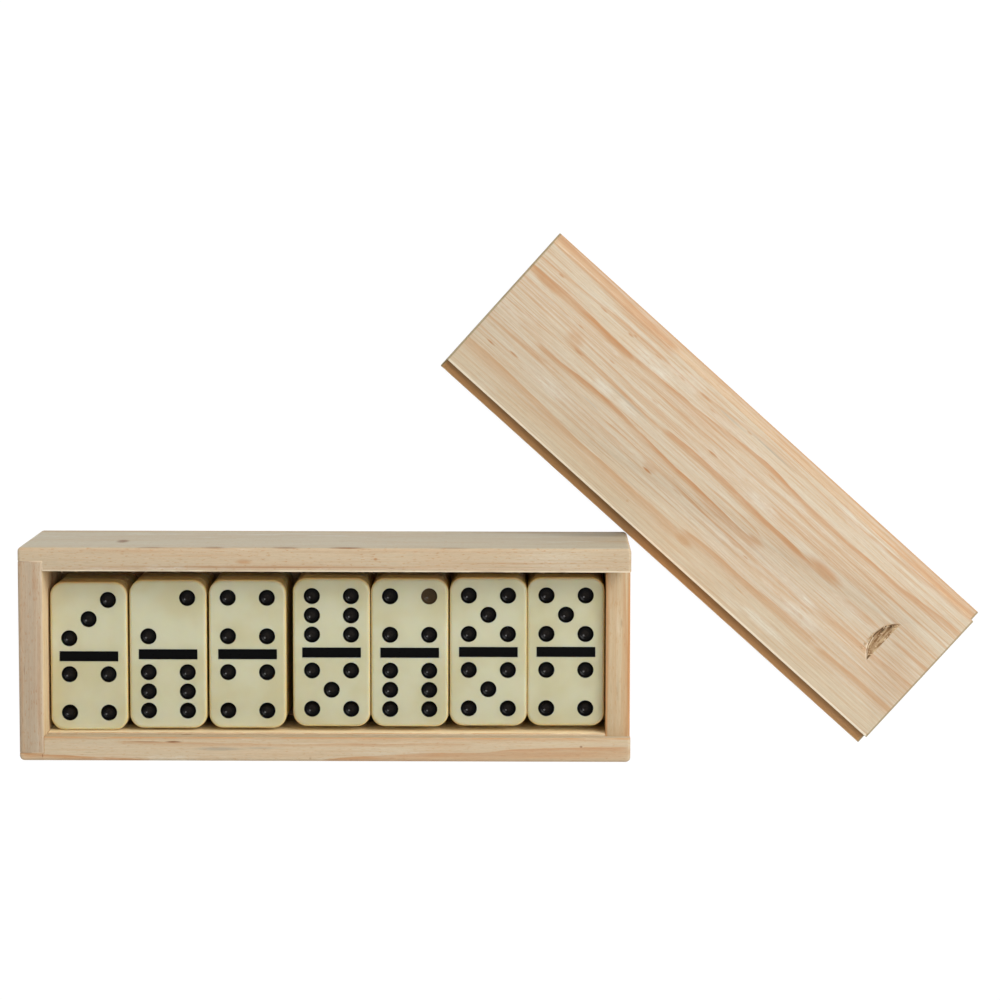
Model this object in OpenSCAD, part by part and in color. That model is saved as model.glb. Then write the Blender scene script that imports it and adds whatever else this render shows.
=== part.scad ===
// A pine box with a slide-out lid, holding a double-six set of dominoes in four layers of seven.
// Millimetres. The origin is the centre of the box's underside, +X runs to the end where the lid
// slides out, and +Z is up. The box stands open, with its lid lying flat beside one corner.

/* [Dominoes] */
// Length of a domino
tile_l = 47; // [40:0.5:58]
// Width of a domino
tile_w = 24.3; // [20:0.1:30]
// Thickness of a domino
tile_t = 8; // [6.5:0.1:10]
// Radius of a domino's four upright corners
tile_corner_r = 4.3; // [2:0.1:6]
// Radius that softens all of a domino's edges
tile_edge_r = 1; // [0.5:0.1:1.5]

/* [Pips and bar] */
// Diameter of a pip where it meets the face
pip_d = 5.1; // [3:0.1:5.4]
// Diameter of a pip's floor, inside its sloping wall
pip_floor_d = 3.9; // [2:0.1:4.8]
// Depth of a pip where its wall meets its floor
pip_wall = 0.8; // [0.3:0.1:1.2]
// How much further the floor is dished at its middle
pip_dish = 0.4; // [0.1:0.1:0.8]
// From the middle of a pip to the domino's nearer long side
pip_side = 6; // [4.5:0.05:7]
// From the middle of an end pip to the domino's short side
pip_end = 5.6; // [4.5:0.05:7]
// From the middle of an inner pip to the middle of the bar
pip_bar = 5.7; // [4.6:0.05:7]
// From each end of the bar to the domino's long side
bar_side = 2.9; // [2:0.1:5]
// Width of the bar
bar_w = 3.2; // [1.5:0.1:4]
// Depth of the bar
bar_depth = 0.6; // [0.3:0.1:1]

/* [How the dominoes lie] */
// Free space before each column of dominoes, from the closed end, and after the last
column_gaps = [0.75, 0.65, 0.75, 2.15, 0.3, 0.45, 0.1, 0.35];
// How far each column stands off the front wall
column_offs = [0.2, 0.9, 1.0, 1.6, 1.6, 1.9, 2.0];
// Free space across the box that lets a finger reach a domino's end
side_play = 5; // [1:0.5:10]
// Air between one layer and the next
layer_gap = 0.1; // [0.05:0.05:0.3]
// Air between the top layer and the lid
headroom = 3.1; // [1:0.1:12]

/* [Box] */
// Thickness of the two long walls
wall_t = 7.6; // [6:0.1:12]
// Thickness of the closed end wall
closed_t = 7.6; // [6:0.1:12]
// Thickness of the low end wall, which the lid passes over
open_t = 7.6; // [6:0.1:12]
// Thickness of the bottom panel
bottom_t = 6; // [3:0.5:10]
// How far end walls and bottom panel are let into their neighbours
rabbet_d = 3; // [1.5:0.1:4]
// How far the end walls are let into the front wall
front_rabbet_d = 5.2; // [3:0.1:5.5]
// Radius of the box's four outer upright corners
corner_r = 1.5; // [1.2:0.1:3]
// Radius of the box's other outer edges
edge_r = 1.1; // [0.3:0.1:1.1]

/* [Lid] */
// Thickness of the lid
lid_t = 8.5; // [6:0.1:12]
// Thickness of the tongues along the lid's long sides
tongue_t = 3.9; // [2.5:0.1:5]
// How far each tongue sticks out
tongue_w = 3.2; // [1.5:0.1:4]
// Air between the lid's upper part and each long wall
lid_side_air = 0.5; // [0.2:0.1:1]
// Air under, over and beyond a tongue in its groove
tongue_air = 0.3; // [0.15:0.05:0.6]
// How much shorter the lid is than its seat
lid_end_air = 0.3; // [0.1:0.1:1]

/* [Thumb notch] */
// Radius of the flat cutter that makes the notch
notch_r = 10.4; // [7:0.1:14]
// Lean of the cutter
notch_lean = 27; // [15:1:40]
// Depth of the notch at its curved wall
notch_depth = 1.8; // [0.8:0.1:2.5]
// From the notch's straight side to the end of the lid
notch_from_end = 16.7; // [10:0.1:30]
// How far the notch lies off the middle of the lid
notch_off = 1; // [-8:0.5:8]

/* [Where the lid lies] */
// Turn of the lid, seen from above
lid_turn = -42; // [-60:1:-20]
// Air between the lid's tongue and the box's rounded corner
lid_corner_air = 0.3; // [0.1:0.1:5]
// How far the lid's middle lies past that corner, along the lid
lid_past_corner = 10.5; // [-40:0.5:60]

/* [Hidden] */
$fn = 64;
past = 1; // how far a cutter runs past the face that it opens
pine = "#dcc8a4";
pine_pale = "#e4d3b2";
ivory = "#ddd8b4";

// Each layer of dominoes from the top down, each domino as [back half, front half]
LAYERS = [
  [[3, 4], [2, 6], [4, 4], [6, 5], [4, 6], [5, 5], [5, 4]],
  [[1, 3], [6, 6], [0, 2], [2, 5], [1, 1], [3, 6], [0, 4]],
  [[2, 2], [0, 5], [3, 3], [1, 6], [2, 4], [0, 0], [3, 5]],
  [[0, 6], [1, 4], [2, 3], [0, 1], [1, 5], [0, 3], [1, 2]],
];
COLUMNS = [for (c = [0 : len(LAYERS[0]) - 1]) c];
ROWS = [for (r = [0 : len(LAYERS) - 1]) r];
function domino_name(halves) = str("domino_", min(halves), "_", max(halves));
DOMINOES = [for (layer = LAYERS, halves = layer) domino_name(halves)];
BOARDS = ["bottom_panel", "front_wall", "back_wall", "closed_end_wall", "open_end_wall", "lid"];

function sum(list, count) = count == 0 ? 0 : list[count - 1] + sum(list, count - 1);

// Inside of the box
inner_l = len(COLUMNS) * tile_w + sum(column_gaps, len(column_gaps));
inner_w = tile_l + side_play;
layer_pitch = tile_t + layer_gap;
lid_z = bottom_t + layer_gap + len(ROWS) * layer_pitch - layer_gap + headroom;

// Outside of the box
box_l = closed_t + inner_l + open_t;
box_w = inner_w + 2 * wall_t;
box_h = lid_z + lid_t;
inner_x0 = -box_l / 2 + closed_t;
inner_x1 = inner_x0 + inner_l;

// Lid and grooves
lid_l = inner_l + open_t - lid_end_air;
lid_top_w = inner_w - 2 * lid_side_air;
lid_w = lid_top_w + 2 * tongue_w;
groove_d = (lid_w - inner_w) / 2 + tongue_air;
groove_z0 = lid_z - tongue_air;
groove_z1 = lid_z + tongue_t + tongue_air;

// Pips
pip_x = tile_w / 2 - pip_side;
pip_step = (tile_l / 2 - pip_end - pip_bar) / 2;
pip_dish_r = (pow(pip_floor_d / 2, 2) + pow(pip_dish, 2)) / (2 * pip_dish);

// A box between two corners
module span(low, high) {
  translate(low) cube(high - low);
}

// A block on z = 0 with rounded upright corners and softer, smaller rounds on its other edges
module rounded_block(length, width, height, upright_r, soft_r) {
  // Upright section through the block, half as wide as it is told
  module section(half) {
    translate([-half, soft_r]) square([2 * half, height - 2 * soft_r]);
    translate([soft_r - half, 0]) square([2 * (half - soft_r), height]);
    for (side = [-1, 1], z = [soft_r, height - soft_r])
      translate([side * (half - soft_r), z]) circle(soft_r);
  }
  between_x = length - 2 * upright_r;
  between_y = width - 2 * upright_r;
  rotate([90, 0, 0]) linear_extrude(between_y, center = true) section(length / 2);
  rotate([90, 0, 90]) linear_extrude(between_x, center = true) section(width / 2);
  for (x = [-1, 1], y = [-1, 1])
    translate([x * between_x / 2, y * between_y / 2, 0])
      rotate_extrude() intersection() {
        section(upright_r);
        square([upright_r, height]);
      }
}

// The closed box as one eased block. Every board is cut from it, so its outer edges are eased
// only where the assembled box was sanded.
module box_outline() {
  rounded_block(box_l, box_w, box_h, corner_r, edge_r);
}

// What the bottom panel fills: the floor of the box and its rabbets in all four walls
module bottom_space(below) {
  span([inner_x0 - rabbet_d, -inner_w / 2 - rabbet_d, -below],
       [inner_x1 + rabbet_d, inner_w / 2 + rabbet_d, bottom_t]);
}

// Back wall: rabbets for both end walls, that deep, and for the bottom panel, and the groove for
// the lid's tongue
module long_wall(end_rabbet) {
  inner_y = inner_w / 2;
  end_x = box_l / 2 + past;
  difference() {
    intersection() {
      box_outline();
      span([-end_x, inner_y, 0], [end_x, box_w / 2 + past, box_h]);
    }
    bottom_space(past);
    span([-end_x, inner_y - past, -past], [inner_x0, inner_y + end_rabbet, box_h + past]);
    span([inner_x1, inner_y - past, -past], [end_x, inner_y + end_rabbet, groove_z0]);
    span([inner_x0, inner_y - past, groove_z0], [end_x, inner_y + groove_d, groove_z1]);
  }
}

// End wall from x0 to x1, let into both long walls, up to height
module end_wall(x0, x1, height) {
  difference() {
    intersection() {
      box_outline();
      span([x0, -inner_w / 2 - front_rabbet_d, 0], [x1, inner_w / 2 + rabbet_d, height]);
    }
    bottom_space(past);
  }
}

module bottom_panel() {
  color(pine) bottom_space(0);
}

module back_wall() {
  color(pine) long_wall(rabbet_d);
}

module front_wall() {
  color(pine_pale) mirror([0, 1, 0]) long_wall(front_rabbet_d);
}

module closed_end_wall() {
  color(pine) end_wall(-box_l / 2 - past, inner_x0, box_h);
}

module open_end_wall() {
  color(pine_pale) end_wall(inner_x1, box_l / 2 + past, groove_z0);
}

// Cutter of the thumb notch, at the middle of the notch's straight side on the lid's top
module notch_cutter() {
  reach = notch_depth / sin(notch_lean);
  rotate([0, -notch_lean, 0]) translate([notch_r - reach, 0, 0]) cylinder(notch_r, notch_r, notch_r);
}

module lid() {
  out = corner_r + lid_corner_air + lid_w / 2;
  color(pine_pale)
    translate([box_l / 2 - corner_r, box_w / 2 - corner_r, 0]) rotate([0, 0, lid_turn])
      translate([lid_past_corner, out, 0]) difference() {
        rotate([90, 0, 90]) linear_extrude(lid_l, center = true) {
          translate([-lid_w / 2, 0]) square([lid_w, tongue_t]);
          translate([-lid_top_w / 2, 0]) square([lid_top_w, lid_t]);
        }
        translate([lid_l / 2 - notch_from_end, notch_off, lid_t]) notch_cutter();
      }
}

// Where the pips of one half go, as [side, step out from the bar]
function pip_spots(value) = concat(
  value % 2 == 1 ? [[0, 1]] : [],
  value >= 2 ? [[1, 2], [-1, 0]] : [],
  value >= 4 ? [[-1, 2], [1, 0]] : [],
  value == 6 ? [[-1, 1], [1, 1]] : []);

// Cutter of one pip, in the face z = 0: a cup with a sloping wall and a dished floor
module pip_cutter() {
  floor_r = pip_floor_d / 2;
  rotate_extrude() {
    polygon([[0, past], [pip_d / 2, past], [pip_d / 2, 0], [floor_r, -pip_wall], [0, -pip_wall]]);
    intersection() {
      translate([0, pip_dish_r - pip_wall - pip_dish]) circle(pip_dish_r);
      translate([0, -pip_wall - pip_dish]) square([floor_r, pip_dish]);
    }
  }
}

// One domino lying face up on z = 0, its first half toward +Y
module domino(halves) {
  difference() {
    rounded_block(tile_w, tile_l, tile_t, tile_corner_r, tile_edge_r);
    translate([0, 0, tile_t]) span([bar_side - tile_w / 2, -bar_w / 2, -bar_depth],
                                   [tile_w / 2 - bar_side, bar_w / 2, past]);
    for (half = [0, 1], spot = pip_spots(halves[half]))
      rotate([0, 0, 180 * half])
        translate([spot[0] * pip_x, pip_bar + spot[1] * pip_step, tile_t]) pip_cutter();
  }
}

// A domino in its place: column 0 is at the closed end, row 0 is the top layer
module stacked_domino(column, row) {
  x = inner_x0 + sum(column_gaps, column + 1) + (column + 0.5) * tile_w;
  y = column_offs[column] + (tile_l - inner_w) / 2;
  z = bottom_t + layer_gap + (len(ROWS) - 1 - row) * layer_pitch;
  color(ivory) translate([x, y, z]) domino(LAYERS[row][column]);
}

bottom_panel();
front_wall();
back_wall();
closed_end_wall();
open_end_wall();
lid();
for (row = ROWS, column = COLUMNS)
  stacked_domino(column, row);
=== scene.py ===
import math

import bmesh
import bpy
import numpy as np
from mathutils import Euler, Matrix, Vector


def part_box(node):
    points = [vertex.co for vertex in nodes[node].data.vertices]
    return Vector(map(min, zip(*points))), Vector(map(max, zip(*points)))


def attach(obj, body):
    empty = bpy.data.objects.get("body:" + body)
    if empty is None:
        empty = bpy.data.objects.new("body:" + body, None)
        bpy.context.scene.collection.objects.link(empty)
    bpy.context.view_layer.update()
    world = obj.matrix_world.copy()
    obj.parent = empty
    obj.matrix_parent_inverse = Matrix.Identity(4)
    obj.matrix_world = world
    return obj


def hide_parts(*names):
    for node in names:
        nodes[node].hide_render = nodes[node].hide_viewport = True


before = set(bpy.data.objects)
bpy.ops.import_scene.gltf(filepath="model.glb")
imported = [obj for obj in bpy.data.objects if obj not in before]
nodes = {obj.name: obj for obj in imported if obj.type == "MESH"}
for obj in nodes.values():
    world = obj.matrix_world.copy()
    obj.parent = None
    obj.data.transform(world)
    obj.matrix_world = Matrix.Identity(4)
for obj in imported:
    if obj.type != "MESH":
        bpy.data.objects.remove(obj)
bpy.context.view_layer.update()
mm = 0.001
spotCore = 0.25  # the part of a soft mark that has its whole strength
print("frame loaded:", len(nodes), "pieces")


def colour(red, green, blue):
    # screen values from 0 to 255, made linear
    def linear(value):
        value /= 255
        return value / 12.92 if value <= 0.04045 else ((value + 0.055) / 1.055) ** 2.4
    return (linear(red), linear(green), linear(blue), 1.0)


def emptyTree(owner):
    owner.use_nodes = True
    owner.node_tree.nodes.clear()
    return owner.node_tree


def fill(node, values):
    # values are numbers or sockets by input name or index
    for key, value in values.items():
        if isinstance(value, bpy.types.NodeSocket):
            node.id_data.links.new(value, node.inputs[key])
        else:
            node.inputs[key].default_value = value
    return node


def addNode(tree, kind, values=None, **settings):
    node = tree.nodes.new(kind)
    for key, value in settings.items():
        setattr(node, key, value)
    return fill(node, values or {})


def treeOf(*values):
    # the node tree of the first socket among them
    return next(value.id_data for value in values if isinstance(value, bpy.types.NodeSocket))


def calc(operation, *values, clamp=False):
    settings = {"operation": operation, "use_clamp": clamp}
    return addNode(treeOf(*values), "ShaderNodeMath", dict(enumerate(values)), **settings).outputs[0]


def chain(operation, values):
    result = values[0]
    for value in values[1:]:
        result = calc(operation, result, value)
    return result


def total(*values):
    return chain("ADD", values)


def product(*values):
    return chain("MULTIPLY", values)


def minus(value, less):
    return calc("SUBTRACT", value, less)


def largest(*values):
    return chain("MAXIMUM", values)


def vectorCalc(operation, *values):
    # its outputs are a vector and a number, of which one has the answer
    values, settings = dict(enumerate(values)), {"operation": operation}
    return addNode(treeOf(*values.values()), "ShaderNodeVectorMath", values, **settings).outputs


def parts(vector):
    return addNode(treeOf(vector), "ShaderNodeSeparateXYZ", {0: vector}).outputs


def vector(*values):
    return addNode(treeOf(*values), "ShaderNodeCombineXYZ", dict(enumerate(values))).outputs[0]


def noise(place, stretch, detail=2.0, roughness=0.5):
    # place is in millimetres, and stretch says how many noise cells go into a millimetre each way
    scaled = vectorCalc("MULTIPLY", place, stretch)[0]
    values = {"Vector": scaled, "Scale": 1.0, "Detail": detail, "Roughness": roughness}
    return addNode(treeOf(scaled), "ShaderNodeTexNoise", values).outputs["Fac"]


def between(value, low, high, toLow=0.0, toHigh=1.0, kind="SMOOTHSTEP"):
    # a soft or a straight step from low to high
    values = {"Value": value, "From Min": low, "From Max": high, "To Min": toLow, "To Max": toHigh}
    return addNode(treeOf(value), "ShaderNodeMapRange", values, interpolation_type=kind).outputs[0]


def blendColours(amount, first, second, kind="MIX"):
    settings = {"data_type": "RGBA", "blend_type": kind, "clamp_factor": True}
    values = {0: amount, 6: first, 7: second}
    return addNode(treeOf(amount, first, second), "ShaderNodeMix", values, **settings).outputs[2]


def spots(place, marks, top, deep=6.0):
    # soft oval marks, each (along, across, half length, half width, strength), in millimetres, and its
    # height and half depth where they aren't the usual ones
    found = []
    for along, across, length, width, strength, *more in marks:
        height, depth = more + [top, deep][len(more):]
        apart = vectorCalc("SUBTRACT", place, (along, across, height))[0]
        scaled = vectorCalc("MULTIPLY", apart, (1 / length, 1 / width, 1 / depth))[0]
        found.append(between(vectorCalc("LENGTH", scaled)[1], 1.0, spotCore, 0.0, strength))
    return largest(*found)


def attribute(tree, name):
    return addNode(tree, "ShaderNodeAttribute", attribute_name=name, attribute_type="GEOMETRY").outputs["Fac"]


def newMaterial(name):
    material = bpy.data.materials.new(name)
    tree = emptyTree(material)
    shader = addNode(tree, "ShaderNodeBsdfPrincipled")
    addNode(tree, "ShaderNodeOutputMaterial", {"Surface": shader.outputs[0]})
    return material, tree, shader


def finishShader(tree, shader, shade, rough, height, relief):
    # relief has the bump's strength, its depth in millimetres, and the specular level
    strength, depth, specular = relief
    bump = addNode(tree, "ShaderNodeBump", {"Strength": strength, "Distance": depth * mm, "Height": height})
    fill(shader, {"Base Color": shade, "Roughness": rough, "Normal": bump.outputs[0],
                  "Specular IOR Level": specular})


def inMillimetres(tree, shift=(0, 0, 0), turn=0.0):
    # object coordinates in millimetres
    here = addNode(tree, "ShaderNodeTexCoord").outputs["Object"]
    return addNode(tree, "ShaderNodeMapping", {"Vector": here, "Location": shift, "Rotation": (0, 0, turn),
                                               "Scale": (1 / mm, 1 / mm, 1 / mm)}).outputs[0]


def addObject(name, data):
    made = bpy.data.objects.new(name, data)
    bpy.context.scene.collection.objects.link(made)
    return made


def place(name, mesh, body, slot, replaced=()):
    # one finished piece at the origin, riding on its body
    piece = addObject(name, mesh)
    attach(piece, body)
    if replaced:
        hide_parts(*replaced)


# camera over the box's far side, turned a little toward it
cameraLook = {
    "place": (0.0643, 0.1477, 1.0854),
    "turn": (-5.468, 0.544, 0.082),  # degrees
    "lens": 120.9, "sensor": 36.0,  # millimetres
    "clip": (0.05, 20),
}
cameraData = bpy.data.cameras.new("camera")
cameraData.lens = cameraLook["lens"]
cameraData.sensor_width = cameraLook["sensor"]
cameraData.clip_start, cameraData.clip_end = cameraLook["clip"]
camera = addObject("camera", cameraData)
camera.location = cameraLook["place"]
camera.rotation_euler = Euler([math.radians(a) for a in cameraLook["turn"]])
bpy.context.scene.camera = camera
bpy.context.scene.view_settings.view_transform = "Standard"

studio = {
    "skyUp": 0.19, "skySide": 0.74,  # the room overhead, and how much brighter it is at the horizon
    "softbox": (25, 17, 6, 13.0),  # azimuth, zenith and half angle in degrees, strength
    "softEdge": (1.2, 0.8),  # parts of the half angle between which it fades in
    "keyStrength": 27.6,  # watts
    "keyAzimuth": 35,  # degrees from +X towards +Y
    "keyZenith": 48,  # degrees from straight up
    "keyFar": 2.2,
    "keySize": 1.4,
    "floorHalf": 4.0, "floorUnder": 0.0002,
    "floorColour": (0.86, 0.86, 0.86, 1),
    "floorWhite": 1.04,  # strength of the white that the camera sees
    "floorShadow": 0.05,  # how much of the floor's own shading shows under the white
}
white = (1, 1, 1, 1)


def addFloor():
    mesh = bpy.data.meshes.new("floor")
    half, low = studio["floorHalf"], -studio["floorUnder"]
    corners = [(-half, -half, low), (half, -half, low), (half, half, low), (-half, half, low)]
    mesh.from_pydata(corners, [], [(0, 1, 2, 3)])
    floor = addObject("floor", mesh)
    material = bpy.data.materials.new("floor")
    tree = emptyTree(material)
    path = addNode(tree, "ShaderNodeLightPath").outputs
    seen = calc("ADD", path["Is Camera Ray"], path["Is Glossy Ray"])
    seen = calc("ADD", seen, path["Is Transmission Ray"], clamp=True)
    share = product(seen, 1 - studio["floorShadow"])
    matt = addNode(tree, "ShaderNodeBsdfDiffuse", {"Color": studio["floorColour"]})
    glow = addNode(tree, "ShaderNodeEmission", {"Color": white, "Strength": studio["floorWhite"]})
    both = addNode(tree, "ShaderNodeMixShader", {0: share, 1: matt.outputs[0], 2: glow.outputs[0]})
    addNode(tree, "ShaderNodeOutputMaterial", {"Surface": both.outputs[0]})
    mesh.materials.append(material)


def direction(azimuth, zenith):
    azimuth, zenith = math.radians(azimuth), math.radians(zenith)
    return (math.sin(zenith) * math.cos(azimuth), math.sin(zenith) * math.sin(azimuth), math.cos(zenith))


def addLight():
    world = bpy.data.worlds.new("studio")
    bpy.context.scene.world = world
    tree = emptyTree(world)
    way = addNode(tree, "ShaderNodeTexCoord").outputs["Generated"]
    up = parts(way)[2]
    low = minus(1.0, product(up, up))
    azimuth, zenith, half, strength = studio["softbox"]
    outer, inner = (math.cos(math.radians(half * edge)) for edge in studio["softEdge"])
    near = vectorCalc("DOT_PRODUCT", way, direction(azimuth, zenith))[1]
    box = between(near, outer, inner, 0.0, strength)
    sky = total(product(low, studio["skySide"]), studio["skyUp"], box)
    path = addNode(tree, "ShaderNodeLightPath").outputs
    seen = calc("ADD", path["Is Camera Ray"], path["Is Transmission Ray"], clamp=True)
    level = between(seen, 0.0, 1.0, sky, 1.0, "LINEAR")
    light = addNode(tree, "ShaderNodeBackground", {"Color": white, "Strength": level})
    addNode(tree, "ShaderNodeOutputWorld", {"Surface": light.outputs[0]})
    key = bpy.data.lights.new("key", "AREA")
    key.shape = "DISK"
    key.energy = studio["keyStrength"]
    key.size = studio["keySize"]
    towards = Vector(direction(studio["keyAzimuth"], studio["keyZenith"]))
    lamp = addObject("key", key)
    lamp.rotation_euler = towards.to_track_quat("Z", "Y").to_euler()
    lamp.location = towards * studio["keyFar"]


addFloor()
addLight()
print("camera, light and floor made")

pine = {
    "pale": colour(216, 199, 172),
    "late": colour(200, 148, 100),
    "blotch": colour(208, 168, 130),
    "fuzz": colour(228, 222, 206),
    "duct": colour(140, 92, 54), "tick": colour(190, 126, 66),
    # the rubbed edge colour is partly wear and partly a painted highlight along the lid's edge
    "cream": colour(232, 214, 180), "rubAndHighlight": colour(252, 240, 216),
    # the darkest torn tone is painted shade down in the notch
    "torn": colour(142, 104, 66), "tornPale": colour(204, 176, 136), "notchShade": colour(80, 58, 38),
    # the tongue browns are partly the wood's and partly painted shade, darkest at the root as painted shade;
    # the ends colour is painted shade on the lid's end edges
    "tongue": colour(204, 148, 86), "tongueRoot": colour(166, 118, 68), "ends": colour(150, 136, 100),
    # the darkest tone is a painted shadow of the lid on the box, with the half depth of its marks in
    # millimetres
    "grey": colour(186, 174, 156), "lidShadowTone": colour(118, 104, 84), "lidShadowDepth": 9.0,
    "roughness": (0.55, 0.75),
    "relief": (0.4, 0.11, 0.3),
}
# noises of the grain: cells in a millimetre (along, across, down), detail, roughness
grain = {
    "cloud": ((0.018, 0.09, 0.09), 3.0, 0.55), "streak": ((0.022, 0.75, 0.75), 4.0, 0.6),
    "lines": ((0.035, 1.8, 1.8), 4.0, 0.65), "fibre": ((0.05, 2.1, 2.1), 4.0, 0.65),
    "thread": ((0.35, 3.6, 3.6), 3.0, 0.65), "fuzz": ((0.03, 0.13, 0.13), 3.0, 0.7),
    "broken": ((0.15, 0.6, 0.6), 3.0, 0.6), "duct": ((0.13, 2.4, 2.4), 1.0, 0.5),
    "speck": ((0.55, 2.6, 2.6), 2.0, 0.5), "wearAndPaintedLight": ((0.12, 0.4, 0.4), 2.0, 0.5),
    "ridge": ((1.5, 0.28, 0.6), 3.0, 0.6), "ringWave": ((0.016, 0.05, 0.05), 2.0, 0.4),
    "ringRipple": ((0.06, 0.5, 0.5), 3.0, 0.6), "ringFade": ((0.022, 0.16, 0.16), 3.0, 0.6),
    "bandRipple": ((0.05, 0.35, 0.35), 3.0, 0.6), "bandFade": ((0.035, 0.5, 0.5), 3.0, 0.6),
}
# soft steps on those noises: from, to, and what the two give where it isn't 0 and 1
steps = {
    "cloud": (0.45, 0.70), "streak": (0.48, 0.66), "darkLine": (0.51, 0.64), "paleLine": (0.49, 0.34),
    "blotch": (0.3, 0.55, 0.5, 1.1), "late": (0.25, 0.6, 0.7, 1.1), "fuzz": (0.58, 0.70),
    "broken": (0.38, 0.56, 0.35, 1.1), "fuzzFibre": (0.28, 0.58, 0.4, 1.0), "duct": (0.725, 0.80),
    "dash": (0.3, 0.55, 0.5, 1.0), "speck": (0.58, 0.70), "wearAndPaintedLight": (0.3, 0.6, 0.3, 1.0), "ridge": (0.36, 0.64),
    "ringFade": (0.28, 0.68, 0.3, 1.45), "bandFade": (0.3, 0.66, 0.65, 1.25), "rough": (0.2, 0.75),
}
# late wood: the swing of its waves, how a ring ends, how a band begins and ends, and where made-up
# rings lie and how dark they are
rings = {"wave": 3.0, "ripple": 0.9, "end": 0.22, "margin": 4, "power": 1.8}
band = {"ripple": 1.3, "edge": 0.18, "full": 0.15, "ends": (1.5, 4), "reach": 96.0}
madeUp = {"gaps": (0.5, 1.5), "dark": (0.15, 0.9), "power": 1.2}


def evenRings(seed, low, high, count):
    # year rings at uneven steps, some faint and some dark
    random = np.random.default_rng(seed)
    gaps = random.uniform(*madeUp["gaps"], count)
    places = low + np.cumsum(gaps) / gaps.sum() * (high - low)
    darks = random.uniform(*madeUp["dark"], count) ** madeUp["power"]
    return [(float(where), float(dark)) for where, dark in zip(places, darks)]
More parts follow.
